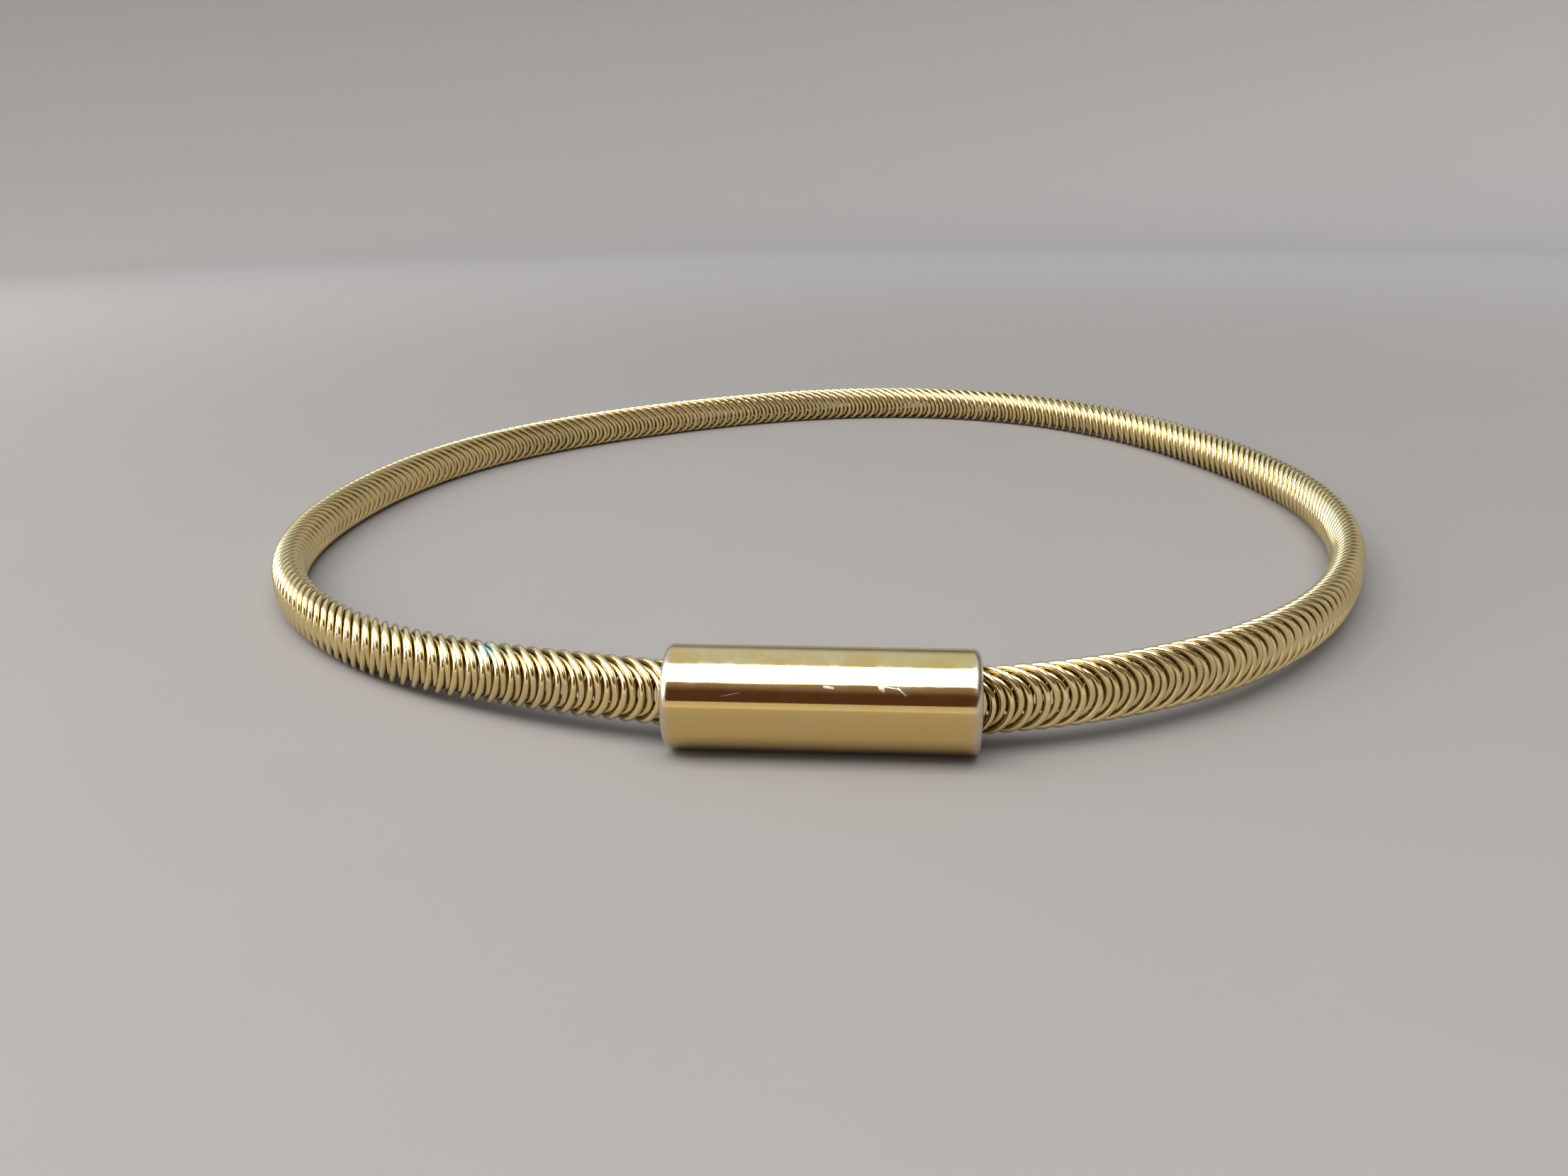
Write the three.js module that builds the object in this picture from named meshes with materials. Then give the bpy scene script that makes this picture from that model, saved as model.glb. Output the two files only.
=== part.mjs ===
// Stretch belt: a closed loop of sprung gold-tone wire coil whose two ends meet inside a plain barrel
// clasp. Millimetres, +Z up. The belt lies flat on z = 0 with the barrel along X at the front, and the
// origin is under the middle of its outline.

import * as THREE from 'three';

// Coil: two interwound wires with leaning turns, so the bundle is an upright oval in section
const COIL_HEIGHT = 9.5;
const COIL_WIDTH = 5.8;
const WIRE_DIAMETER = 1.0;
const SECTION_SIDES = 12;
const ROUTE_STEPS = 96;

// Loop of the coil's centreline seen from above: a circle whose radius swells in a few gentle waves.
// lobes: swellings in one turn. share: height of the wave as a share of the mean radius.
// bearing: direction of one swelling from the loop's centre, in degrees from +X towards +Y.
const LOOP_RADIUS = 114.2;
const LOOP_WAVES = [
  { lobes: 2, share: 0.075, bearing: 82 },
  { lobes: 3, share: 0.028, bearing: 71 },
  { lobes: 4, share: 0.005, bearing: 75 },
  { lobes: 5, share: 0.012, bearing: 75 },
];

// Runs over which the coil comes down from the barrel's axis to the surface it lies on
const RIGHT_RUN = 140;
const LEFT_RUN = 60;

// Barrel clasp: a plain sleeve over both ends of the coil
const BARREL_BEARING = -87.5;
const BARREL_LENGTH = 42.2;
const BARREL_WALL = 1.65;
const BARREL_EDGE_RADIUS = 1.1;
const BARREL_SIDES = 48;
const BORE_SLACK = 0.45;
const EDGE_STEPS = 4;

// Hidden core that joins the coil's ends inside the barrel
const FLANGE_THICKNESS = 4;
const SPIGOT_LENGTH = 6;
const SPIGOT_SLACK = 0.6;
const CORE_SIDES = 24;
const GAP = 0.3;

// Share of the coil's bow inside the barrel by which the barrel's axis lies inside the coil's middle
const SEAT_SHARE = 2 / 3;

const goldCoil = new THREE.MeshStandardMaterial({ color: 0xc4a04a, metalness: 1, roughness: 0.22 });
const goldBarrel = new THREE.MeshStandardMaterial({ color: 0xc9a650, metalness: 1, roughness: 0.12 });
const plainBrass = new THREE.MeshStandardMaterial({ color: 0xa8894a, metalness: 1, roughness: 0.4 });

// Plan point of the coil's centreline at a bearing in radians
function loopPoint(bearing) {
  let reach = LOOP_RADIUS;
  for (const wave of LOOP_WAVES) {
    const phase = wave.lobes * (bearing - THREE.MathUtils.degToRad(wave.bearing));
    reach += LOOP_RADIUS * wave.share * Math.cos(phase);
  }
  return new THREE.Vector2(Math.cos(bearing), Math.sin(bearing)).multiplyScalar(reach);
}

// Corners of an oval section. x runs up and y runs across, as the sweep reads them.
function ovalCorners(height, width) {
  return Array.from({ length: SECTION_SIDES }, (_, i) => {
    const angle = (i / SECTION_SIDES) * 2 * Math.PI;
    return new THREE.Vector2((height / 2) * Math.cos(angle), (width / 2) * Math.sin(angle));
  });
}

// Distance from the barrel's axis to the far side of a coil that lies beside it by an offset
function sectionReach(offset) {
  const corners = ovalCorners(COIL_HEIGHT, COIL_WIDTH);
  return Math.max(...corners.map((corner) => Math.hypot(corner.x, Math.abs(corner.y) + Math.abs(offset))));
}

// Where the coil passes through the barrel, and the sleeve that is large enough for its bow there
const barrelBearing = THREE.MathUtils.degToRad(BARREL_BEARING);
const coilMiddle = loopPoint(barrelBearing);
const halfBarrelTurn = BARREL_LENGTH / 2 / coilMiddle.length();
const rightMouth = loopPoint(barrelBearing + halfBarrelTurn);
const leftMouth = loopPoint(barrelBearing - halfBarrelTurn);
const bow = (rightMouth.y + leftMouth.y) / 2 - coilMiddle.y;
const barrelY = coilMiddle.y + bow * SEAT_SHARE;
const coilOffsets = [coilMiddle, rightMouth, leftMouth].map((point) => point.y - barrelY);
const boreRadius = Math.max(...coilOffsets.map(sectionReach)) + BORE_SLACK;
const barrelRadius = boreRadius + BARREL_WALL;
const barrelAxisHeight = barrelRadius * Math.cos(Math.PI / BARREL_SIDES);

// The coil's centreline, from the core round the loop and back to the core
class CoilRoute extends THREE.Curve {
  constructor(endSetback) {
    super();
    this.startTurn = endSetback / coilMiddle.length();
  }

  // Height of the centreline where the coil has left its barrel mouth by a distance
  heightAfter(distance, run) {
    const lying = COIL_HEIGHT / 2;
    const raised = 1 - THREE.MathUtils.smoothstep(distance, 0, run);
    return lying + (barrelAxisHeight - lying) * raised;
  }

  getPoint(t, target = new THREE.Vector3()) {
    const turn = THREE.MathUtils.lerp(this.startTurn, 2 * Math.PI - this.startTurn, t);
    const plan = loopPoint(barrelBearing + turn);
    const fromRight = (turn - halfBarrelTurn) * LOOP_RADIUS;
    const fromLeft = (2 * Math.PI - turn - halfBarrelTurn) * LOOP_RADIUS;
    const height = Math.max(this.heightAfter(fromRight, RIGHT_RUN), this.heightAfter(fromLeft, LEFT_RUN));
    return target.set(plan.x, plan.y, height);
  }
}

// A solid of revolution about X, turned so that a flat facet faces down
function turnedAboutX(profile, sides) {
  const geometry = new THREE.LatheGeometry(profile, sides);
  geometry.rotateY(Math.PI / sides);
  geometry.rotateZ(-Math.PI / 2);
  return geometry;
}

// Coil: the hollow envelope of the two wires
function makeCoil() {
  const section = new THREE.Shape(ovalCorners(COIL_HEIGHT, COIL_WIDTH));
  const hollow = ovalCorners(COIL_HEIGHT - 2 * WIRE_DIAMETER, COIL_WIDTH - 2 * WIRE_DIAMETER);
  section.holes.push(new THREE.Path(hollow.reverse()));
  const route = new CoilRoute(FLANGE_THICKNESS / 2 + 2 * GAP);
  const geometry = new THREE.ExtrudeGeometry(section, { steps: ROUTE_STEPS, extrudePath: route });
  const coil = new THREE.Mesh(geometry, goldCoil);
  coil.name = 'coil';
  return coil;
}

// Barrel: a sleeve with a plain bore and rounded outer edges
function makeBarrel() {
  const half = BARREL_LENGTH / 2;
  const profile = [new THREE.Vector2(boreRadius, -half)];
  for (const end of [-1, 1]) {
    for (let i = 0; i <= EDGE_STEPS; i += 1) {
      const angle = (end < 0 ? i : EDGE_STEPS - i) / EDGE_STEPS * Math.PI / 2;
      profile.push(new THREE.Vector2(
        barrelRadius - BARREL_EDGE_RADIUS * (1 - Math.sin(angle)),
        end * (half - BARREL_EDGE_RADIUS * (1 - Math.cos(angle))),
      ));
    }
  }
  profile.push(new THREE.Vector2(boreRadius, half), profile[0].clone());
  const barrel = new THREE.Mesh(turnedAboutX(profile, BARREL_SIDES), goldBarrel);
  barrel.name = 'barrel_sleeve';
  barrel.position.set(coilMiddle.x, barrelY, barrelAxisHeight);
  return barrel;
}

// Core: a flange between the coil's two ends, with a spigot in each end
function makeCore() {
  const spigotRadius = COIL_WIDTH / 2 - WIRE_DIAMETER - SPIGOT_SLACK;
  const flangeRadius = boreRadius - bow * SEAT_SHARE - GAP;
  const face = FLANGE_THICKNESS / 2;
  const tip = face + SPIGOT_LENGTH;
  const profile = [
    new THREE.Vector2(0, -tip),
    new THREE.Vector2(spigotRadius, -tip),
    new THREE.Vector2(spigotRadius, -face),
    new THREE.Vector2(flangeRadius, -face),
    new THREE.Vector2(flangeRadius, face),
    new THREE.Vector2(spigotRadius, face),
    new THREE.Vector2(spigotRadius, tip),
    new THREE.Vector2(0, tip),
  ];
  const core = new THREE.Mesh(turnedAboutX(profile, CORE_SIDES), plainBrass);
  core.name = 'clasp_core';
  const sideStep = tip / coilMiddle.length();
  const ahead = loopPoint(barrelBearing + sideStep).sub(loopPoint(barrelBearing - sideStep));
  core.rotation.z = ahead.angle();
  core.position.set(coilMiddle.x, coilMiddle.y, barrelAxisHeight);
  return core;
}

const belt = new THREE.Group();
belt.name = 'stretch_belt';
belt.add(makeCoil(), makeBarrel(), makeCore());

// The origin goes under the middle of the outline
const outline = new THREE.Box3().setFromObject(belt, true);
const middle = outline.getCenter(new THREE.Vector3());
belt.position.set(-middle.x, -middle.y, -outline.min.z);

export default belt;
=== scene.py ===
"""The looks of a stretch belt: a closed loop of two interwound gold-tone wires and a plain barrel clasp.

Metres, +Z up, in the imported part's own frame. The belt lies on z = 0 with the barrel along X at the front.
Each visible piece is a surface worked out on a grid of two parameters, and its place is in its mesh.
"""

import logging
import math
from dataclasses import dataclass
from enum import Enum
from typing import Union

import bpy
import numpy as np
from mathutils import Matrix, Vector


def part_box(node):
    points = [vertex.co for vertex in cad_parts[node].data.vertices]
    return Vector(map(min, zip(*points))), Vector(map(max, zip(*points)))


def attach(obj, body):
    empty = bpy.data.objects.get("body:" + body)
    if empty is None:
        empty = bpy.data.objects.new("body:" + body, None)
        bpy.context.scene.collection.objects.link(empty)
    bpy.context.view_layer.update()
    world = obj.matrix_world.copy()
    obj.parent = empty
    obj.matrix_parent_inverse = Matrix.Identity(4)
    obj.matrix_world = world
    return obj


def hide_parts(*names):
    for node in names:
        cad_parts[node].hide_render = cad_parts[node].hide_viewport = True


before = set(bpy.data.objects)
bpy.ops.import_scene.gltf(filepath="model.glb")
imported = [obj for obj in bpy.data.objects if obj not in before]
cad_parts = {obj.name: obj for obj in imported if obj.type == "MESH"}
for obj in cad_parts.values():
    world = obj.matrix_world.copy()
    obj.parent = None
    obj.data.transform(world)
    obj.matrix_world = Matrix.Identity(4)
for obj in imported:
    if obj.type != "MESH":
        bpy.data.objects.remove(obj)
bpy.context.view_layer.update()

MM = 0.001
FULL_TURN = 2 * math.pi
EXPOSURE = "exposure"
log = logging.getLogger("stretch_belt")

# Numbers of the Mix node's factor and of its sockets for colours
MIX_FACTOR = 0
MIX_FIRST = 6
MIX_SECOND = 7
MIX_RESULT = 2

Tone = tuple[float, float, float]
Place = tuple[float, float, float]
SocketValue = Union["Signal", bpy.types.NodeSocket, Tone, float]


def ease(value: np.ndarray) -> np.ndarray:
    """Smooth step with level ends: 3 v^2 - 2 v^3 of each value, held between 0 and 1."""
    held = np.clip(value, 0.0, 1.0)
    return held * held * (3.0 - 2.0 * held)


def unit(vectors: np.ndarray) -> np.ndarray:
    """Each row of an array of vectors, divided by its own length."""
    return vectors / np.linalg.norm(vectors, axis=-1, keepdims=True)


@dataclass
class Surface:
    """A surface sampled on a grid, one row for each step of the first parameter.

    Its faces point to the side of (column direction) x (row direction).

    Attributes:
        points: Array of rows x columns x 3, in metres.
        rows_join: The last row joins the first.
        first_cap: The first row is closed by one flat face.
        last_cap: The last row is closed by one flat face.
        row_marks: The UV map's U at each row, with one more value where the rows join.
        exposure: One number for each point, stored as an attribute of that name.
    """

    points: np.ndarray
    rows_join: bool = False
    first_cap: bool = False
    last_cap: bool = False
    row_marks: np.ndarray | None = None
    exposure: np.ndarray | None = None

    def quads(self) -> tuple[np.ndarray, np.ndarray]:
        """Works out the four corners of every face between two rows and two columns.

        Returns:
            The corners' vertex numbers, and their U and V.
        """
        rows, columns, _ = self.points.shape
        row = np.arange(rows if self.rows_join else rows - 1)[:, None]
        column = np.arange(columns)[None, :]
        next_row, next_column = (row + 1) % rows, (column + 1) % columns
        corners = np.stack(
            [
                row * columns + column,
                row * columns + next_column,
                next_row * columns + next_column,
                next_row * columns + column,
            ],
            axis=-1,
        )
        marks = self.row_marks if self.row_marks is not None else np.linspace(0.0, 1.0, rows + 1)
        u = np.stack([marks[row], marks[row], marks[row + 1], marks[row + 1]], axis=-1)
        v = np.stack([column, column + 1, column + 1, column], axis=-1) / columns
        uv = np.stack(np.broadcast_arrays(u, v), axis=-1)
        return corners.reshape(-1, 4), uv.reshape(-1, 2)

    def mesh(self, name: str) -> bpy.types.Mesh:
        """Puts the grid into a Blender mesh, with its UV map and its exposure.

        Args:
            name: The mesh's name.

        Returns:
            The mesh, smooth apart from its flat end faces.
        """
        rows, columns, _ = self.points.shape
        quads, uv = self.quads()
        caps = []
        if self.first_cap:
            caps.append(np.arange(columns)[::-1])
        if self.last_cap:
            caps.append((rows - 1) * columns + np.arange(columns))
        loops = np.concatenate([quads.ravel(), *caps])
        cap_starts = quads.size + columns * np.arange(len(caps))
        starts = np.concatenate([np.arange(0, quads.size, 4), cap_starts])
        smooth = np.concatenate([np.ones(len(quads), bool), np.zeros(len(caps), bool)])

        mesh = bpy.data.meshes.new(name)
        mesh.vertices.add(rows * columns)
        mesh.vertices.foreach_set("co", self.points.astype(np.float32).ravel())
        mesh.loops.add(len(loops))
        mesh.loops.foreach_set("vertex_index", loops.astype(np.int32))
        mesh.polygons.add(len(starts))
        mesh.polygons.foreach_set("loop_start", starts.astype(np.int32))
        mesh.polygons.foreach_set("use_smooth", smooth)
        uv_map = mesh.uv_layers.new(name="UVMap")
        all_uv = np.concatenate([uv, np.zeros((len(loops) - len(uv), 2))])
        uv_map.uv.foreach_set("vector", all_uv.astype(np.float32).ravel())
        if self.exposure is not None:
            stored = mesh.attributes.new(EXPOSURE, "FLOAT", "POINT")
            stored.data.foreach_set("value", self.exposure.astype(np.float32).ravel())
        mesh.update(calc_edges=True)
        mesh.validate()
        return mesh

    def piece(self, name: str, material: bpy.types.Material) -> bpy.types.Object:
        """Makes the surface an object at the origin.

        Args:
            name: The object's name.
            material: Its finish.

        Returns:
            The object, linked into the scene.
        """
        mesh = self.mesh(name)
        mesh.materials.append(material)
        made = bpy.data.objects.new(name, mesh)
        bpy.context.scene.collection.objects.link(made)
        log.info("%s: %d faces", name, len(mesh.polygons))
        return made


class Signal:
    """A number that varies over a surface: one output socket, with arithmetic that adds Math nodes."""

    def __init__(self, graph: "Graph", socket: bpy.types.NodeSocket) -> None:
        """Wraps an output socket of a node in the graph."""
        self.graph = graph
        self.socket = socket

    def _math(self, operation: str, left: SocketValue, right: SocketValue) -> "Signal":
        """One Math node of two terms, as a signal."""
        node = self.graph.node("ShaderNodeMath", {"operation": operation}, {0: left, 1: right})
        return Signal(self.graph, node.outputs[0])

    def __add__(self, other: SocketValue) -> "Signal":
        """This signal plus a term."""
        return self._math("ADD", self, other)

    def __radd__(self, other: SocketValue) -> "Signal":
        """A term plus this signal."""
        return self._math("ADD", other, self)

    def __sub__(self, other: SocketValue) -> "Signal":
        """This signal less a term."""
        return self._math("SUBTRACT", self, other)

    def __rsub__(self, other: SocketValue) -> "Signal":
        """A term less this signal."""
        return self._math("SUBTRACT", other, self)

    def __mul__(self, other: SocketValue) -> "Signal":
        """This signal times a factor."""
        return self._math("MULTIPLY", self, other)

    def __rmul__(self, other: SocketValue) -> "Signal":
        """A factor times this signal."""
        return self._math("MULTIPLY", other, self)

    def __abs__(self) -> "Signal":
        """This signal without its sign."""
        return self._math("ABSOLUTE", self, 0.0)

    def rises(self, low: float, high: float) -> "Signal":
        """A smooth mask of this signal.

        Args:
            low: The value where the mask is 0.
            high: The value where the mask is 1.

        Returns:
            The mask, from 0 to 1.
        """
        settings = {"interpolation_type": "SMOOTHSTEP", "clamp": True}
        node = self.graph.node(
            "ShaderNodeMapRange", settings, {"Value": self, "From Min": low, "From Max": high}
        )
        return Signal(self.graph, node.outputs["Result"])


class Space(Enum):
    """Which coordinates a pattern reads."""

    OBJECT = "Object"
    UV = "UV"


class Graph:
    """A node tree under construction, for a material or the world."""

    def __init__(self, tree: bpy.types.NodeTree) -> None:
        """Takes over a node tree and empties it."""
        self.tree = tree
        tree.nodes.clear()

    def node(
        self, kind: str, settings: dict[str, object], inputs: dict[str | int, SocketValue]
    ) -> bpy.types.Node:
        """Adds any node.

        Args:
            kind: The node's type.
            settings: Properties that are set first, such as a Math node's operation.
            inputs: A number, a vector, a colour or a link for each socket, by name or number.

        Returns:
            The node.
        """
        made = self.tree.nodes.new(kind)
        for setting, value in settings.items():
            setattr(made, setting, value)
        for key, value in inputs.items():
            source = value.socket if isinstance(value, Signal) else value
            if isinstance(source, bpy.types.NodeSocket):
                self.tree.links.new(source, made.inputs[key])
            elif isinstance(source, tuple) and made.inputs[key].type == "RGBA":
                made.inputs[key].default_value = (*source, 1.0)
            else:
                made.inputs[key].default_value = source
        return made

    def blend(self, factor: SocketValue, first: SocketValue, second: SocketValue) -> bpy.types.NodeSocket:
        """Mixes two colours; factor is the second one's share, from 0 to 1."""
        inputs = {MIX_FACTOR: factor, MIX_FIRST: first, MIX_SECOND: second}
        return self.node("ShaderNodeMix", {"data_type": "RGBA"}, inputs).outputs[MIX_RESULT]

    def coordinates(self, space: Space, scale: Place = (1.0, 1.0, 1.0)) -> bpy.types.NodeSocket:
        """Surface coordinates, stretched.

        Args:
            space: Which coordinates.
            scale: A factor for each axis.

        Returns:
            The vector's socket.
        """
        place = self.node("ShaderNodeTexCoord", {}, {}).outputs[space.value]
        inputs = {"Vector": place, "Scale": scale}
        return self.node("ShaderNodeMapping", {"vector_type": "POINT"}, inputs).outputs["Vector"]

    def axes(self, vector: bpy.types.NodeSocket) -> tuple[Signal, Signal, Signal]:
        """The X, Y and Z of a vector, as signals."""
        split = self.node("ShaderNodeSeparateXYZ", {}, {0: vector})
        return tuple(Signal(self, socket) for socket in split.outputs)

    def distance(self, place: bpy.types.NodeSocket, centre: Place) -> Signal:
        """How far a place is from a centre, as a signal."""
        made = self.node("ShaderNodeVectorMath", {"operation": "DISTANCE"}, {0: place, 1: centre})
        return Signal(self, made.outputs["Value"])

    def noise(self, place: bpy.types.NodeSocket, scale: float, detail: float = 3.0) -> Signal:
        """Cloudy noise round 0.5.

        Args:
            place: Where it is read.
            scale: Clouds for each unit of the coordinates.
            detail: Octaves of finer clouds.

        Returns:
            The noise as a signal.
        """
        inputs = {"Vector": place, "Scale": scale, "Detail": detail}
        made = self.node("ShaderNodeTexNoise", {"noise_dimensions": "3D"}, inputs)
        return Signal(self, made.outputs[0])


@dataclass(frozen=True)
class Clouds:
    """A smooth mask cut from cloudy noise.

    Attributes:
        scale: Clouds for each unit of the coordinates.
        low: The noise where the mask is 0.
        high: The noise where the mask is 1.
        detail: Octaves of finer clouds.
    """

    scale: float
    low: float
    high: float
    detail: float = 3.0

    def mask(self, graph: Graph, place: bpy.types.NodeSocket) -> Signal:
        """The mask, from 0 to 1, of the noise read at a place."""
        return graph.noise(place, self.scale, self.detail).rises(self.low, self.high)


@dataclass(frozen=True)
class Grain:
    """Fine lines: noise drawn out along one axis.

    Attributes:
        space: The coordinates it reads.
        stretch: A factor for each axis, smallest along the lines.
        scale: Lines for each unit of the stretched coordinates.
        detail: Octaves of finer lines.
    """

    space: Space
    stretch: Place
    scale: float
    detail: float

    def height(self, graph: Graph) -> Signal:
        """The height of the lines, round 0.5."""
        return graph.noise(graph.coordinates(self.space, self.stretch), self.scale, self.detail)


class Relief(Enum):
    """How deep a finish's fine relief is, in metres."""

    POLISHED = 0.6e-6
    DRAWN = 1.6e-6
    TURNED = 6.0e-6


class MaterialGraph(Graph):
    """The graph of a new material."""

    def __init__(self, name: str) -> None:
        """Makes the material.

        Args:
            name: The material's name.
        """
        self.material = bpy.data.materials.new(name)
        self.material.use_nodes = True
        super().__init__(self.material.node_tree)

    def shaded(self, kind: str, inputs: dict[str | int, SocketValue]) -> bpy.types.Material:
        """Ends the graph in a shader.

        Args:
            kind: The shader node's type.
            inputs: Values and links for its sockets.

        Returns:
            The finished material.
        """
        shader = self.node(kind, {}, inputs)
        self.node("ShaderNodeOutputMaterial", {}, {"Surface": shader.outputs[0]})
        return self.material

    def metal(
        self, tone: SocketValue, roughness: SocketValue, height: Signal, relief: Relief
    ) -> bpy.types.Material:
        """Ends the graph in a metal with fine relief.

        Args:
            tone: The metal's colour.
            roughness: Its roughness.
            height: The relief's height, from 0 to 1.
            relief: How deep it is.

        Returns:
            The finished material.
        """
        depth = {"Strength": 1.0, "Distance": relief.value, "Height": height}
        normal = self.node("ShaderNodeBump", {}, depth).outputs["Normal"]
        inputs = {"Base Color": tone, "Roughness": roughness, "Metallic": 1.0, "Normal": normal}
        return self.shaded("ShaderNodeBsdfPrincipled", inputs)


@dataclass(frozen=True)
class Crust:
    """Pale blue-green crust on one short stretch of wire: ragged specks inside a ball.

    Attributes:
        tone: Its colour.
        centre: The ball's middle.
        size: The ball's radius.
        full_share: Share of the radius within which the specks are full.
        cover: How much of the plating they hide.
        roughness: What they add to the wire's roughness.
        specks: The mask that makes them ragged.
    """

    tone: Tone = (0.50, 0.72, 0.70)
    centre: Place = (-41.9 * MM, -111.3 * MM, 9.4 * MM)
    size: float = 2.6 * MM
    full_share: float = 0.4
    cover: float = 0.85
    roughness: float = 0.30
    specks: Clouds = Clouds(900.0, 0.34, 0.50)

    def mask(self, graph: Graph, place: bpy.types.NodeSocket) -> Signal:
        """Where the crust lies, from 0 to 1, read at a place."""
        inside = 1.0 - graph.distance(place, self.centre).rises(self.full_share * self.size, self.size)
        return inside * self.specks.mask(graph, place)


@dataclass(frozen=True)
class WireGilt:
    """Gold-tone plating on round wire: bright where clean, olive where it has aged, painted shade between
    turns.

    Attributes:
        bright: Colour of the clean plating.
        aged: Colour of the duller plating.
        painted_seam_shade: Painted shade, the dark brown deep between the turns where they shade each other.
        shade_full_exposure: The exposure up to which that colour is full.
        open_exposure: The exposure from which none of it is left.
        patches: Mask of the duller stretches.
        patch_share: How dull they are.
        specks: Mask of fine dull specks.
        speck_share: How dull they are.
        roughness: Roughness of the bright plating.
        dull_roughness: What dullness adds to it.
        seam_roughness: What lying deep between the turns adds.
        drawn: The fine lines along the wire.
        crust: Its one crusted spot.
    """

    bright: Tone = (0.85, 0.69, 0.35)
    aged: Tone = (0.66, 0.55, 0.28)
    painted_seam_shade: Tone = (0.27, 0.16, 0.075)
    shade_full_exposure: float = 0.12
    open_exposure: float = 0.58
    patches: Clouds = Clouds(55.0, 0.42, 0.68)
    patch_share: float = 0.55
    specks: Clouds = Clouds(1400.0, 0.50, 0.72)
    speck_share: float = 0.25
    roughness: float = 0.12
    dull_roughness: float = 0.08
    seam_roughness: float = 0.28
    drawn: Grain = Grain(Space.UV, (0.6, 14.0, 1.0), 6.0, 2.0)
    crust: Crust = Crust()

    def material(self) -> bpy.types.Material:
        """Builds the wire's material.

        Returns:
            The material, which reads the stored exposure, the UV map and Object coordinates.
        """
        graph = MaterialGraph("wire_gilt")
        stored = graph.node("ShaderNodeAttribute", {"attribute_name": EXPOSURE}, {})
        # Painted shade: the side of the wire that faces into the coil darkens to the seam colour
        outer = Signal(graph, stored.outputs["Fac"]).rises(self.shade_full_exposure, self.open_exposure)
        place = graph.coordinates(Space.OBJECT)
        patches, specks = self.patches.mask(graph, place), self.specks.mask(graph, place)
        dull = self.patch_share * patches + self.speck_share * specks
        crusted = self.crust.mask(graph, place)
        tone = graph.blend(outer, self.painted_seam_shade, graph.blend(dull, self.bright, self.aged))
        tone = graph.blend(self.crust.cover * crusted, tone, self.crust.tone)
        roughness = self.roughness + self.dull_roughness * dull + self.seam_roughness * (1.0 - outer)
        roughness = roughness + self.crust.roughness * crusted
        return graph.metal(tone, roughness, self.drawn.height(graph), Relief.DRAWN)


@dataclass(frozen=True)
class Scratch:
    """A short pale scratch on the barrel's front.

    Attributes:
        x: Its middle, along the barrel from the barrel's middle.
        z: Its middle's height.
        slope: How fast its height changes along the barrel.
        half_length: Half its length along the barrel.
        half_width: Half its width.
        full_length: Share of its half length that is at full strength.
        full_width: Share of its half width that is at full strength.
    """

    x: float
    z: float
    slope: float
    half_length: float
    half_width: float = 0.13 * MM
    full_length: float = 0.6
    full_width: float = 0.2

    def mask(self, across: Signal, height: Signal) -> Signal:
        """Masks the scratch with soft ends and edges.

        Args:
            across: Distance along the barrel from its middle.
            height: Height above the floor.

        Returns:
            A mask from 0 to 1.
        """
        along = across - self.x
        off_line = abs(height - self.z - self.slope * along)
        ends = 1.0 - abs(along).rises(self.full_length * self.half_length, self.half_length)
        return ends * (1.0 - off_line.rises(self.full_width * self.half_width, self.half_width))


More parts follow.
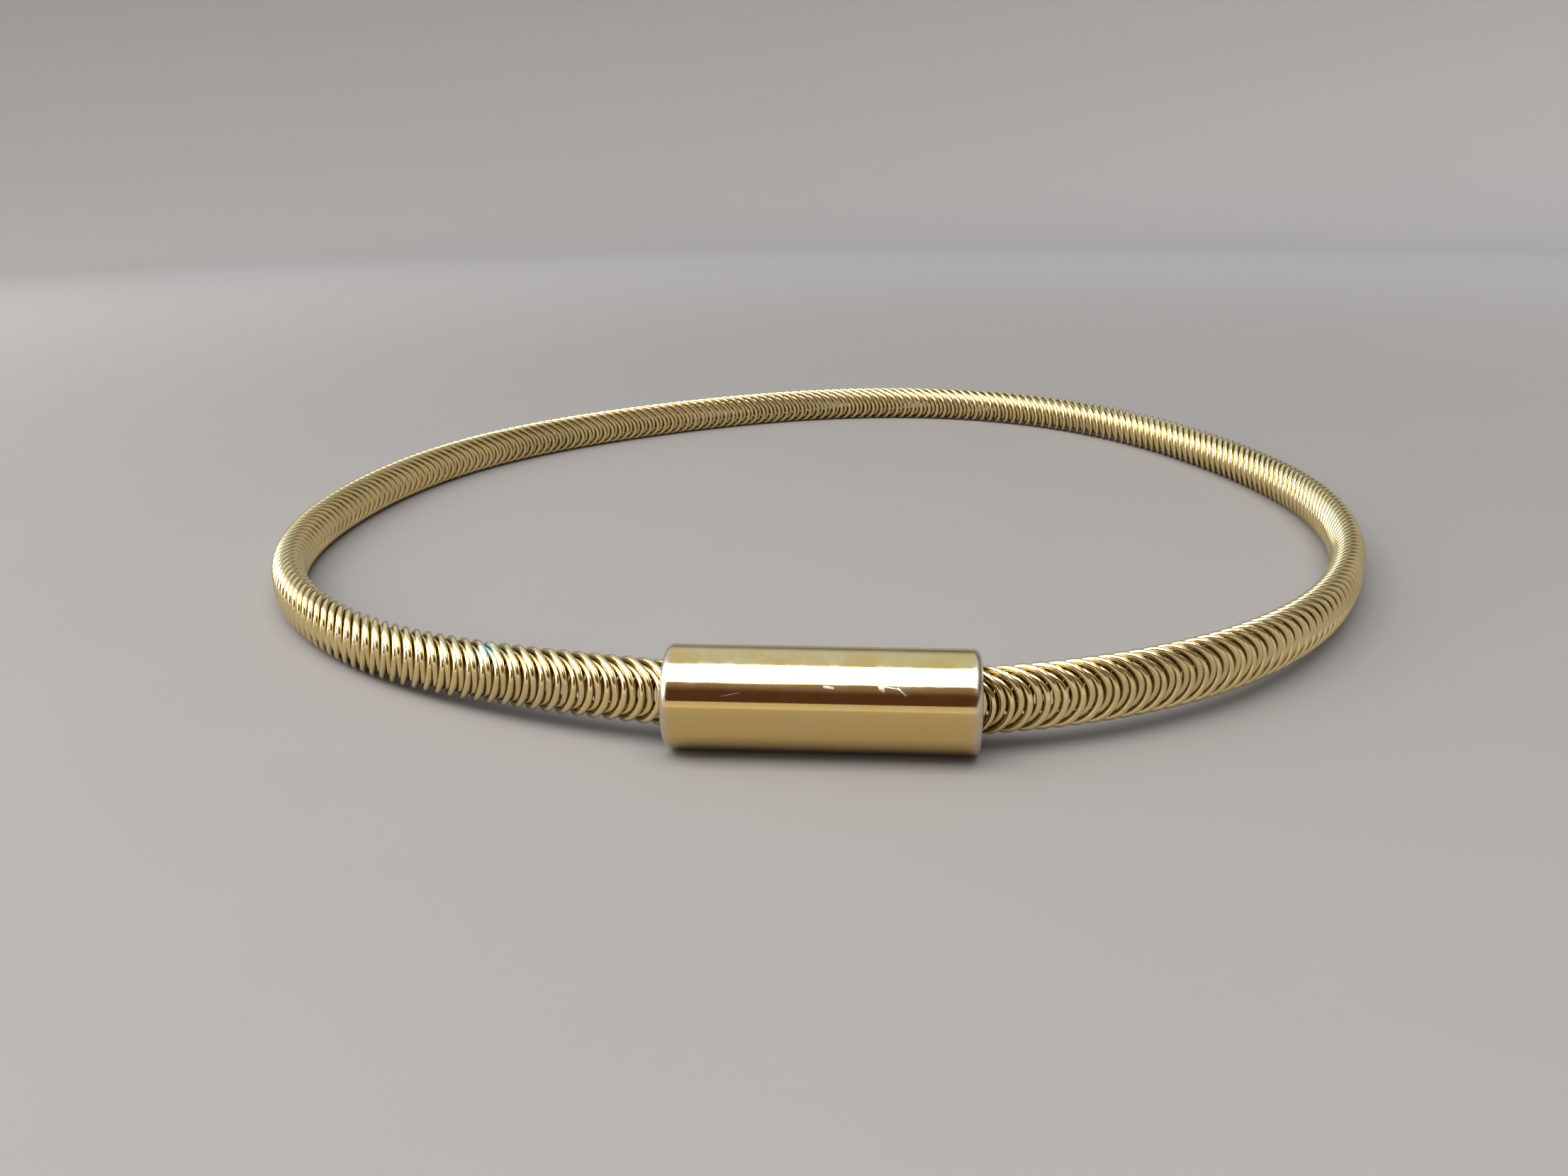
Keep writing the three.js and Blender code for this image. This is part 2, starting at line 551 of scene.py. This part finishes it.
@dataclass(frozen=True)
class BarrelGilt:
    """Polished gold-tone plating on the barrel: mottled tarnish above, scratches in front, grey worn rims.

    Attributes:
        middle: The middle of the barrel's axis.
        radius: The barrel's outer radius.
        half_length: Half the barrel's length.
        polished: Colour of the clean plating.
        tarnished: Colour of the mottled patches.
        rubbed: Colour of the rims and scratches, where the plating has gone.
        clouds: Mask of the tarnish.
        mottle: Finer mask inside it.
        tarnish_share: How far each of the two masks tarnishes the plating.
        low_tarnish: How much of the tarnish the lower half has.
        top_tarnish: What that gains at the top.
        wear_width: Width of the wear at each rim.
        wear_cover: How much of the plating it takes away.
        wear_scale: Scale of the noise that makes its edge ragged.
        wear_ragged: How far that edge wanders.
        front_fade: Depth past the axis over which the scratches come to full strength.
        scratch_cover: How much of the plating they take away.
        scratches: The scratches on its front.
        hairlines: Polishing lines along the barrel.
        hairline_low: Height of those lines where they start to dull the polish.
        hairline_high: Height where they dull it most.
        roughness: Roughness of the clean polish.
        tarnish_roughness: What tarnish adds to it.
        bare_roughness: What missing plating adds.
        hairline_roughness: What the polishing lines add.
    """

    middle: Vector
    radius: float
    half_length: float
    polished: Tone = (0.72, 0.515, 0.195)
    tarnished: Tone = (0.70, 0.61, 0.34)
    rubbed: Tone = (0.62, 0.60, 0.58)
    clouds: Clouds = Clouds(190.0, 0.36, 0.62)
    mottle: Clouds = Clouds(700.0, 0.42, 0.62, 4.0)
    tarnish_share: float = 0.45
    low_tarnish: float = 0.15
    top_tarnish: float = 0.70
    wear_width: float = 1.7 * MM
    wear_cover: float = 0.80
    wear_scale: float = 520.0
    wear_ragged: float = 1.6 * MM
    front_fade: float = 1.0 * MM
    scratch_cover: float = 0.8
    scratches: tuple[Scratch, ...] = (
        Scratch(8.0 * MM, 11.2 * MM, -0.5, 0.55 * MM, 0.55 * MM),
        Scratch(9.4 * MM, 11.27 * MM, -0.14, 1.2 * MM),
        Scratch(10.7 * MM, 10.82 * MM, -0.75, 0.75 * MM, 0.20 * MM),
        Scratch(1.2 * MM, 11.2 * MM, -0.10, 0.9 * MM, 0.24 * MM),
        Scratch(-11.5 * MM, 10.2 * MM, 0.20, 1.6 * MM, 0.08 * MM),
        Scratch(-3.0 * MM, 5.6 * MM, -0.12, 2.4 * MM, 0.07 * MM),
    )
    hairlines: Grain = Grain(Space.OBJECT, (60.0, 900.0, 900.0), 1.6, 5.0)
    hairline_low: float = 0.55
    hairline_high: float = 0.75
    roughness: float = 0.05
    tarnish_roughness: float = 0.12
    bare_roughness: float = 0.24
    hairline_roughness: float = 0.05

    def tarnish(self, graph: Graph, place: bpy.types.NodeSocket, height: Signal) -> Signal:
        """Masks the tarnish, strongest at the top.

        Args:
            graph: The material's graph.
            place: Object coordinates.
            height: Height above the floor.

        Returns:
            A mask from 0 to 1.
        """
        upper = height.rises(self.middle.z, self.middle.z + self.radius)
        clouds, mottle = self.clouds.mask(graph, place), self.mottle.mask(graph, place)
        patches = self.tarnish_share * mottle * clouds + self.tarnish_share * clouds
        return (self.low_tarnish + self.top_tarnish * upper) * patches

    def bare(self, graph: Graph, place: bpy.types.NodeSocket) -> Signal:
        """Masks the worn rims and the scratches.

        Args:
            graph: The material's graph.
            place: Object coordinates.

        Returns:
            A mask from 0 to about 1.
        """
        x, y, height = graph.axes(place)
        across = x - self.middle.x
        edge = abs(across) + self.wear_ragged * (graph.noise(place, self.wear_scale) - 0.5)
        rims = self.wear_cover * edge.rises(self.half_length - self.wear_width, self.half_length)
        front = (self.middle.y - y).rises(0.0, self.front_fade)
        scratched = sum(scratch.mask(across, height) for scratch in self.scratches)
        return rims + self.scratch_cover * front * scratched

    def material(self) -> bpy.types.Material:
        """Builds the barrel's material.

        Returns:
            The material, which reads Object coordinates.
        """
        graph = MaterialGraph("barrel_gilt")
        place = graph.coordinates(Space.OBJECT)
        tarnish = self.tarnish(graph, place, graph.axes(place)[2])
        bare = self.bare(graph, place)
        tone = graph.blend(tarnish, self.polished, self.tarnished)
        tone = graph.blend(bare, tone, self.rubbed)
        lines = self.hairlines.height(graph)
        dulled = lines.rises(self.hairline_low, self.hairline_high)
        roughness = self.roughness + self.tarnish_roughness * tarnish + self.bare_roughness * bare
        return graph.metal(tone, roughness + self.hairline_roughness * dulled, lines, Relief.POLISHED)


@dataclass(frozen=True)
class CoreBrass:
    """Plain turned brass of the hidden core.

    Attributes:
        clean: Colour of the turned metal.
        stained: Colour of its stains.
        stains: Mask of the stains.
        rings: The fine rings that turning leaves.
        roughness: Roughness of the turned metal.
        stain_roughness: What the stains add to it.
    """

    clean: Tone = (0.70, 0.52, 0.24)
    stained: Tone = (0.42, 0.30, 0.15)
    stains: Clouds = Clouds(500.0, 0.40, 0.70)
    rings: Grain = Grain(Space.OBJECT, (4000.0, 60.0, 60.0), 1.0, 3.0)
    roughness: float = 0.32
    stain_roughness: float = 0.20

    def material(self) -> bpy.types.Material:
        """Builds the core's material.

        Returns:
            The material, which reads Object coordinates.
        """
        graph = MaterialGraph("core_brass")
        stains = self.stains.mask(graph, graph.coordinates(Space.OBJECT))
        tone = graph.blend(stains, self.clean, self.stained)
        roughness = self.roughness + self.stain_roughness * stains
        return graph.metal(tone, roughness, self.rings.height(graph), Relief.TURNED)


@dataclass(frozen=True)
class Clasp:
    """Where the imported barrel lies.

    Attributes:
        middle: The middle of its axis.
        radius: Its outer radius.
        half_length: Half its length.
    """

    middle: Vector
    radius: float
    half_length: float

    @classmethod
    def of_frame(cls) -> "Clasp":
        """Reads the barrel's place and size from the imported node's box."""
        low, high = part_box("barrel_sleeve")
        return cls((low + high) / 2, (high.z - low.z) / 2, (high.x - low.x) / 2)


@dataclass(frozen=True)
class Wave:
    """One gentle wave of the loop's outline.

    Attributes:
        lobes: Swellings in one turn.
        share: The wave's height as a share of the mean radius.
        bearing: Direction of one swelling, in degrees from +X towards +Y.
    """

    lobes: int
    share: float
    bearing: float


@dataclass(frozen=True)
class CoilRoute:
    """The coil's centreline, counter-clockwise from the clasp's core and back to it.

    Seen from above its distance from the middle is mean_radius x (1 + sum of share x cos(lobes x (bearing -
    wave's bearing))). It leaves the barrel at the barrel's axis and eases down to the surface it lies on.

    Attributes:
        mean_radius: The loop's mean radius.
        waves: The waves of its outline.
        clasp_bearing: Direction of the clasp from the loop's middle, in degrees.
        end_setback: Distance along the loop from the clasp's middle to the coil's end.
        lying_height: Height of the centreline where the coil lies on the surface.
        right_run: Length over which it comes down from the barrel's right end.
        left_run: The same at the left end.
        steps: Number of points worked out along it.
    """

    mean_radius: float = 114.2 * MM
    waves: tuple[Wave, ...] = (
        Wave(2, 0.075, 82.0),
        Wave(3, 0.028, 71.0),
        Wave(4, 0.005, 75.0),
        Wave(5, 0.012, 75.0),
    )
    clasp_bearing: float = -87.5
    end_setback: float = 2.6 * MM
    lying_height: float = 4.75 * MM
    right_run: float = 140.0 * MM
    left_run: float = 60.0 * MM
    steps: int = 8000

    def plan(self, turn: np.ndarray) -> np.ndarray:
        """Plan points of the centreline about the loop's middle.

        Args:
            turn: Angles from the clasp, in radians.

        Returns:
            Array of points x 2.
        """
        bearing = turn + math.radians(self.clasp_bearing)
        reach = np.full_like(bearing, self.mean_radius)
        for wave in self.waves:
            phase = wave.lobes * (bearing - math.radians(wave.bearing))
            reach += self.mean_radius * wave.share * np.cos(phase)
        return np.stack([reach * np.cos(bearing), reach * np.sin(bearing)], axis=-1)

    def height(self, turn: np.ndarray, clasp: Clasp) -> np.ndarray:
        """Heights of the centreline.

        Args:
            turn: Angles from the clasp, in radians.
            clasp: The barrel that the coil comes out of.

        Returns:
            The barrel axis's height inside it, easing to lying_height over the two runs.
        """
        hidden = clasp.half_length / np.linalg.norm(self.plan(np.zeros(1)))
        past_right = (turn - hidden) * self.mean_radius / self.right_run
        past_left = (FULL_TURN - turn - hidden) * self.mean_radius / self.left_run
        raised = 1.0 - np.minimum(ease(past_right), ease(past_left))
        return self.lying_height + (clasp.middle.z - self.lying_height) * raised

    def line(self, clasp: Clasp) -> tuple[np.ndarray, np.ndarray]:
        """The centreline in the part's frame.

        Args:
            clasp: The barrel that the coil comes out of.

        Returns:
            Points, and the distance along the line at each.
        """
        start = self.end_setback / np.linalg.norm(self.plan(np.zeros(1)))
        turn = np.linspace(start, FULL_TURN - start, self.steps)
        plan = self.plan(turn)
        low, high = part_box("coil")
        plan += (np.array(low + high)[:2] - plan.min(axis=0) - plan.max(axis=0)) / 2
        points = np.column_stack([plan, self.height(turn, clasp)])
        gaps = np.linalg.norm(np.diff(points, axis=0), axis=1)
        return points, np.concatenate([[0.0], np.cumsum(gaps)])


class Strand(Enum):
    """Which of the two wires a strand is: the one that rides high at the top, or the one that rides low."""

    HIGH = 1
    LOW = -1


@dataclass(frozen=True)
class Winding:
    """Two equal wires wound into one leaning coil, half a pitch apart.

    With the turn angle a, 90 degrees at the top and falling along the loop, a wire's centre lies at
    (reach cos a) outwards, (reach tan(lean) cos a + rake sin a) along the loop and (rise sin a) up from the
    coil's centreline. It is then moved out from the coil's oval by nest x sin a for the high wire and in by
    as much for the low one, so that the two lie in each other's valleys at the top and the bottom. Lean and
    rake change evenly from the barrel's right end round to its left end.

    Attributes:
        wire_radius: Half the wire's thickness.
        reach: Sideways reach of the wire's centre.
        rise: Upward reach of the wire's centre, without nest.
        right_lean: The turns' lean at the barrel's right end, in degrees from straight across.
        left_lean: The same at its left end.
        right_rake: How far the top of a turn lies ahead of its middle, at the barrel's right end.
        left_rake: The same at its left end.
        nest: How far the wires move out and in at the top and the bottom.
        pitch: Length of loop that one turn of each wire takes.
        right_slack: What the pitch gains at the barrel's right end.
        left_slack: What it gains at the left end.
        slack_run: Length over which the slack fades.
        upright_run: Length over which the turns straighten up towards the core, inside the barrel.
        turn_steps: Points in one turn.
        wire_sides: Sides of the wire.
    """

    wire_radius: float = 0.5 * MM
    reach: float = 2.4 * MM
    rise: float = 3.82 * MM
    right_lean: float = 53.0
    left_lean: float = 59.5
    right_rake: float = 0.60 * MM
    left_rake: float = 1.1 * MM
    nest: float = 0.44 * MM
    pitch: float = 2.60 * MM
    right_slack: float = -0.16 * MM
    left_slack: float = -0.05 * MM
    slack_run: float = 90.0 * MM
    upright_run: float = 9.0 * MM
    turn_steps: int = 40
    wire_sides: int = 8

    def angles(self, distance: np.ndarray, strand: Strand) -> tuple[np.ndarray, np.ndarray]:
        """Spaces the points of one wire evenly in turn angle.

        The high wire starts at the top of a turn, and the low one at the bottom.

        Args:
            distance: Distances along the coil's centreline, rising from 0.
            strand: The wire.

        Returns:
            The turn angles, and the distance along the centreline at each.
        """
        near_right = 1.0 - ease(distance / self.slack_run)
        near_left = 1.0 - ease((distance[-1] - distance) / self.slack_run)
        local_pitch = self.pitch + self.right_slack * near_right + self.left_slack * near_left
        turns = np.concatenate([[0.0], np.cumsum(np.diff(distance) / local_pitch[1:])])
        spaced = np.arange(0.0, turns[-1], 1.0 / self.turn_steps)
        offset = 0.0 if strand is Strand.HIGH else 0.5
        angle = FULL_TURN * (0.25 - offset - spaced)
        return angle, np.interp(spaced, turns, distance)

    def surface(self, line: tuple[np.ndarray, np.ndarray], strand: Strand) -> Surface:
        """Sweeps the wire's round section along one strand.

        The section's first direction points away from the coil's axis, made square to the wire. The exposure
        is 0.5 + 0.5 x cos of the angle round the section from that direction.

        Args:
            line: The coil's centreline and the distance along it.
            strand: The wire.

        Returns:
            The wire's closed surface.
        """
        points, distance = line
        angle, station = self.angles(distance, strand)
        centre = np.column_stack([np.interp(station, distance, points[:, axis]) for axis in range(3)])
        heading = np.gradient(points, distance, axis=0)
        forward = np.column_stack([np.interp(station, distance, heading[:, axis]) for axis in range(3)])
        forward = unit(forward * (1.0, 1.0, 0.0))
        up = np.array([0.0, 0.0, 1.0])
        outward = np.cross(forward, up)

        from_end = np.minimum(station, station[-1] - station)
        leaning = ease(from_end / self.upright_run)
        cos_a, sin_a = np.cos(angle), np.sin(angle)
        oval = np.stack([self.rise * cos_a, self.reach * sin_a], axis=-1)
        oval_out, oval_up = unit(oval).T
        moved = strand.value * self.nest * leaning * sin_a
        side = self.reach * cos_a + moved * oval_out
        share = station / distance[-1]
        lean = np.radians(self.right_lean + share * (self.left_lean - self.right_lean))
        rake = self.right_rake + share * (self.left_rake - self.right_rake)
        ahead = (self.reach * np.tan(lean) * cos_a + rake * sin_a) * leaning
        above = self.rise * sin_a + moved * oval_up
        wire = centre + side[:, None] * outward + ahead[:, None] * forward + above[:, None] * up

        along = unit(np.gradient(wire, axis=0))
        away = oval_out[:, None] * outward + oval_up[:, None] * up
        first = unit(away - np.sum(away * along, axis=1, keepdims=True) * along)
        second = np.cross(along, first)
        round_angle = np.arange(self.wire_sides) * FULL_TURN / self.wire_sides
        shape = (wire, first * self.wire_radius, second * self.wire_radius)
        base, cos_side, sin_side = (part[:, None, :] for part in shape)
        cos_round = np.cos(round_angle)[None, :, None]
        sin_round = np.sin(round_angle)[None, :, None]
        grid = base + cos_round * cos_side + sin_round * sin_side

        # The exposure darkens the wire with painted shade where it faces into the coil, towards the other
        # turns
        exposure = np.broadcast_to(0.5 + 0.5 * np.cos(round_angle), grid.shape[:2])
        lengths = np.linalg.norm(np.diff(wire, axis=0), axis=1)
        marks = np.concatenate([[0.0], np.cumsum(lengths)]) / (FULL_TURN * self.wire_radius)
        return Surface(grid, first_cap=True, last_cap=True, row_marks=marks, exposure=exposure)


@dataclass(frozen=True)
class Coil:
    """The belt's loop: a winding of two wires along its route.

    Attributes:
        route: The centreline.
        winding: The wires.
        finish: Their plating.
    """

    route: CoilRoute = CoilRoute()
    winding: Winding = Winding()
    finish: WireGilt = WireGilt()

    def build(self, clasp: Clasp) -> None:
        """Makes both wires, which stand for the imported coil.

        Args:
            clasp: The barrel that the coil comes out of.
        """
        line = self.route.line(clasp)
        gilt = self.finish.material()
        for strand in Strand:
            name = f"coil_wire_{strand.name.lower()}"
            wire = self.winding.surface(line, strand).piece(name, gilt)
            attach(wire, "root")
            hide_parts("coil")


@dataclass(frozen=True)
class Barrel:
    """The smooth barrel sleeve, a ring profile turned about its axis.

    The profile is a rounded rectangle: two straight faces along the axis, two ring faces at the ends, and a
    quarter circle at each corner.

    Attributes:
        wall: Thickness of the sleeve.
        outer_edge: Radius of the two outer edges.
        bore_edge: Radius of the two edges of the bore.
        around_steps: Points round the sleeve.
        edge_steps: Points along each rounded edge.
        length_steps: Points along the outside, closer together towards its ends.
    """

    wall: float = 1.65 * MM
    outer_edge: float = 1.1 * MM
    bore_edge: float = 0.3 * MM
    around_steps: int = 160
    edge_steps: int = 10
    length_steps: int = 28

    def corner(self, centre: tuple[float, float], radius: float, first_angle: float) -> np.ndarray:
        """A quarter circle in X and distance from the axis, turning by -90 degrees from first_angle."""
        angle = first_angle - np.linspace(0.0, math.pi / 2, self.edge_steps)
        return np.column_stack([centre[0] + radius * np.cos(angle), centre[1] + radius * np.sin(angle)])

    def straight(self, first: np.ndarray, last: np.ndarray) -> np.ndarray:
        """Points between two ends, spaced as the cosine of equal angles, without the ends."""
        share = 0.5 - 0.5 * np.cos(np.linspace(0.0, math.pi, self.length_steps)[1:-1, None])
        return first + share * (last - first)

    def profile(self, clasp: Clasp) -> np.ndarray:
        """The sleeve's closed profile.

        Args:
            clasp: The barrel's size.

        Returns:
            Array of points x 2: X from the barrel's middle, and distance from the axis.
        """
        outer_x, outer_r = clasp.half_length - self.outer_edge, clasp.radius - self.outer_edge
        bore_x = clasp.half_length - self.bore_edge
        bore_r = clasp.radius - self.wall + self.bore_edge
        top_left = self.corner((-outer_x, outer_r), self.outer_edge, math.pi)
        top_right = self.corner((outer_x, outer_r), self.outer_edge, math.pi / 2)
        low_right = self.corner((bore_x, bore_r), self.bore_edge, 0.0)
        low_left = self.corner((-bore_x, bore_r), self.bore_edge, -math.pi / 2)
        outside = self.straight(top_left[-1], top_right[0])
        bore = self.straight(low_right[-1], low_left[0])
        return np.concatenate([top_left, outside, top_right, low_right, bore, low_left])

    def surface(self, clasp: Clasp) -> Surface:
        """Turns the profile about the barrel's axis.

        Args:
            clasp: The barrel's place and size.

        Returns:
            The sleeve's closed surface.
        """
        x, radius = self.profile(clasp).T
        angle = np.arange(self.around_steps) * FULL_TURN / self.around_steps
        ring = np.stack(
            np.broadcast_arrays(
                clasp.middle.x + x[None, :],
                clasp.middle.y + radius[None, :] * np.sin(angle)[:, None],
                clasp.middle.z + radius[None, :] * np.cos(angle)[:, None],
            ),
            axis=-1,
        )
        return Surface(ring, rows_join=True)

    def build(self, clasp: Clasp) -> None:
        """Makes the sleeve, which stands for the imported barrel.

        Args:
            clasp: The barrel's place and size.
        """
        gilt = BarrelGilt(clasp.middle, clasp.radius, clasp.half_length).material()
        sleeve = self.surface(clasp).piece("barrel_polished", gilt)
        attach(sleeve, "root")
        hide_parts("barrel_sleeve")


@dataclass(frozen=True)
class Core:
    """The hidden core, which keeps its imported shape.

    Attributes:
        finish: Its brass.
    """

    finish: CoreBrass = CoreBrass()

    def dress(self) -> None:
        """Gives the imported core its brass."""
        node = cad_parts["clasp_core"]
        node.data.materials.clear()
        node.data.materials.append(self.finish.material())
        log.info("clasp_core: dressed")


@dataclass(frozen=True)
class View:
    """The photograph's view: along +Y, turned towards -X, tipped down, then rolled.

    Attributes:
        eye: The camera's place.
        heading_deg: Its turn towards -X.
        pitch_deg: Its tip.
        roll_deg: Its roll.
        lens_mm: Its focal length in millimetres.
        sensor_mm: Its sensor's width in millimetres.
        nearest: Distance from which it sees.
        farthest: Distance to which it sees.
    """

    eye: Place = (16.50 * MM, -277.68 * MM, 74.2 * MM)
    heading_deg: float = 5.33
    pitch_deg: float = 18.07
    roll_deg: float = -0.89
    lens_mm: float = 29.116
    sensor_mm: float = 36.0
    nearest: float = 0.01
    farthest: float = 20.0

    def build(self) -> None:
        """Makes the scene's camera."""
        lens = bpy.data.cameras.new("view")
        lens.lens = self.lens_mm
        lens.sensor_width = self.sensor_mm
        lens.clip_start = self.nearest
        lens.clip_end = self.farthest
        camera = bpy.data.objects.new("view", lens)
        turn = Matrix.Rotation(math.radians(self.heading_deg), 4, "Z")
        tip = Matrix.Rotation(math.radians(90.0 - self.pitch_deg), 4, "X")
        roll = Matrix.Rotation(math.radians(self.roll_deg), 4, "Z")
        camera.matrix_world = Matrix.Translation(self.eye) @ turn @ tip @ roll
        bpy.context.scene.collection.objects.link(camera)
        bpy.context.scene.camera = camera


@dataclass(frozen=True)
class Floor:
    """Plain floor and cove, turned about Z: flat, then a quarter circle, then a low wall.

    Attributes:
        middle_radius: Radius of the one face that closes the floor's middle.
        flat_radius: Radius of the flat part.
        cove_radius: Radius of the curve between floor and wall.
        wall_height: Height of the wall's top.
        curve_steps: Points along the curve.
        around_steps: Points round the floor.
        tone: Colour of the floor round the belt.
        mottle_scale: Scale of its faint mottling.
        mottle_share: The mottling's darkest tone, as a share of the floor's.
        cove_tone: Colour of the curve and the wall, paler since less light reaches them.
        fade_start: Distance from the middle where the floor starts to turn to that colour.
        fade_end: Distance where it has turned to it.
        roughness: The floor's roughness.
    """

    middle_radius: float = 0.02
    flat_radius: float = 1.1
    cove_radius: float = 0.30
    wall_height: float = 0.42
    curve_steps: int = 16
    around_steps: int = 96
    tone: Tone = (0.190, 0.174, 0.160)
    mottle_scale: float = 30.0
    mottle_share: float = 0.96
    cove_tone: Tone = (0.44, 0.41, 0.382)
    fade_start: float = 0.10
    fade_end: float = 1.10
    roughness: float = 0.85

    def surface(self) -> Surface:
        """Turns the floor's profile about Z.

        Returns:
            The floor, facing up and in.
        """
        angle = np.linspace(0.0, math.pi / 2, self.curve_steps)
        curve_out = self.flat_radius + self.cove_radius * np.sin(angle)
        curve_up = self.cove_radius * (1.0 - np.cos(angle))
        out = np.concatenate([[self.middle_radius, self.flat_radius / 2], curve_out, [curve_out[-1]]])
        up = np.concatenate([[0.0, 0.0], curve_up, [self.wall_height]])
        around = np.arange(self.around_steps) * FULL_TURN / self.around_steps
        parts = (out[:, None] * np.cos(around), out[:, None] * np.sin(around), up[:, None])
        rings = np.stack(np.broadcast_arrays(*parts), axis=-1)
        return Surface(rings[::-1], last_cap=True)

    def material(self) -> bpy.types.Material:
        """Builds the floor's material.

        Returns:
            The material, which reads Object coordinates.
        """
        graph = MaterialGraph("floor_matte")
        place = graph.coordinates(Space.OBJECT)
        darker = tuple(self.mottle_share * channel for channel in self.tone)
        tone = graph.blend(graph.noise(place, self.mottle_scale), self.tone, darker)
        far = graph.distance(place, (0.0, 0.0, 0.0)).rises(self.fade_start, self.fade_end)
        tone = graph.blend(far, tone, self.cove_tone)
        return graph.shaded("ShaderNodeBsdfPrincipled", {"Base Color": tone, "Roughness": self.roughness})

    def build(self) -> None:
        """Makes the floor a stage piece."""
        self.surface().piece("floor", self.material())


@dataclass(frozen=True)
class Card:
    """An upright card in front, dark below and paler above, that only the metal's reflections see.

    Attributes:
        left: X of its left side.
        right: X of its right side.
        ahead: Its distance towards -Y.
        low: Height of its lower side.
        high: Height of its upper side.
        dark: Its colour below.
        pale: Its colour above.
        pale_low: Height where it starts to turn paler.
        pale_high: Height where it is palest.
        ragged: How far these heights wander along it.
        ragged_scale: Scale of the noise that moves them.
    """

    left: float = -0.45
    right: float = 1.7
    ahead: float = 1.25
    low: float = 0.25
    high: float = 1.55
    dark: Tone = (0.105, 0.050, 0.038)
    pale: Tone = (0.37, 0.29, 0.28)
    pale_low: float = 0.70
    pale_high: float = 1.45
    ragged: float = 0.5
    ragged_scale: float = 1.6

    def material(self) -> bpy.types.Material:
        """Builds the card's glow.

        Returns:
            The material, which reads Object coordinates.
        """
        graph = MaterialGraph("card_dark")
        place = graph.coordinates(Space.OBJECT)
        height = graph.axes(place)[2] + self.ragged * (graph.noise(place, self.ragged_scale) - 0.5)
        tone = graph.blend(height.rises(self.pale_low, self.pale_high), self.dark, self.pale)
        return graph.shaded("ShaderNodeEmission", {"Color": tone, "Strength": 1.0})

    def build(self) -> None:
        """Makes the card a stage piece."""
        corners = [(x, -self.ahead, z) for z in (self.low, self.high) for x in (self.left, self.right)]
        mesh = bpy.data.meshes.new("card")
        mesh.from_pydata(corners, [], [(0, 1, 3, 2)])
        mesh.materials.append(self.material())
        card = bpy.data.objects.new("card", mesh)
        card.visible_camera = card.visible_diffuse = card.visible_shadow = False
        bpy.context.scene.collection.objects.link(card)


@dataclass(frozen=True)
class Sky:
    """Light from all round: dark towards the horizon and the right, cool and bright above.

    Attributes:
        above_share: How fast it brightens upwards.
        right_share: How fast it darkens to the right.
        dark_to: The sum of both up to which it is dark.
        bright_from: The sum from which it is bright.
        dark: Its dark colour.
        bright: Its bright colour.
        backdrop: The plain colour that the camera itself sees.
    """

    above_share: float = 0.9
    right_share: float = 0.35
    dark_to: float = 0.22
    bright_from: float = 0.60
    dark: Tone = (0.16, 0.145, 0.135)
    bright: Tone = (0.70, 0.77, 0.85)
    backdrop: Tone = (0.42, 0.40, 0.38)

    def build(self) -> None:
        """Makes the scene's world."""
        world = bpy.data.worlds.new("soft_sky")
        world.use_nodes = True
        bpy.context.scene.world = world
        graph = Graph(world.node_tree)
        right, _, above = graph.axes(graph.node("ShaderNodeTexCoord", {}, {}).outputs["Generated"])
        raised = (self.above_share * above - self.right_share * right).rises(self.dark_to, self.bright_from)
        seen = graph.blend(raised, self.dark, self.bright)
        light = graph.node("ShaderNodeBackground", {}, {"Color": seen, "Strength": 1.0})
        plain = graph.node("ShaderNodeBackground", {}, {"Color": self.backdrop, "Strength": 1.0})
        ray = graph.node("ShaderNodeLightPath", {}, {})
        shaders = {0: ray.outputs["Is Camera Ray"], 1: light.outputs[0], 2: plain.outputs[0]}
        both = graph.node("ShaderNodeMixShader", {}, shaders)
        graph.node("ShaderNodeOutputWorld", {}, {"Surface": both.outputs[0]})


@dataclass(frozen=True)
class SoftBox:
    """A flat, evenly bright white light that the camera itself doesn't see.

    Attributes:
        name: The light's name.
        place: Its middle.
        target: The point it faces.
        size: Its width and depth.
        power: Its power in watts.
    """

    name: str
    place: Place
    target: Place
    size: tuple[float, float]
    power: float

    def build(self) -> None:
        """Puts the light into the scene."""
        light = bpy.data.lights.new(self.name, "AREA")
        light.shape = "RECTANGLE"
        light.size, light.size_y = self.size
        light.energy = self.power
        lamp = bpy.data.objects.new(self.name, light)
        lamp.location = self.place
        lamp.rotation_euler = (Vector(self.target) - Vector(self.place)).to_track_quat("-Z", "Y").to_euler()
        lamp.visible_camera = False
        bpy.context.scene.collection.objects.link(lamp)


@dataclass(frozen=True)
class Studio:
    """The photograph's view, a plain floor, and soft light from above and from the left.

    Attributes:
        view: The camera.
        floor: The floor and its cove.
        card: The card that the barrel reflects.
        sky: The light from all round.
        boxes: The two lights.
    """

    view: View = View()
    floor: Floor = Floor()
    card: Card = Card()
    sky: Sky = Sky()
    boxes: tuple[SoftBox, ...] = (
        SoftBox("key", (-0.25, -0.42, 1.0), (-0.25, -0.42, 0.0), (1.5, 0.84), 24.0),
        SoftBox("left", (-1.0, -0.65, 0.74), (0.0, -0.65, 0.74), (1.9, 1.12), 16.0),
    )

    def build(self) -> None:
        """Builds its parts, and shows colours as a camera's plain curve does."""
        for part in (self.view, self.floor, self.card, self.sky, *self.boxes):
            part.build()
        bpy.context.scene.view_settings.view_transform = "Standard"


def main() -> None:
    """Builds the studio, the coil, the barrel and the core."""
    logging.basicConfig(level=logging.INFO, format="%(name)s: %(message)s")
    clasp = Clasp.of_frame()
    Studio().build()
    Coil().build(clasp)
    Barrel().build(clasp)
    Core().dress()


if __name__ == "__main__":
    main()
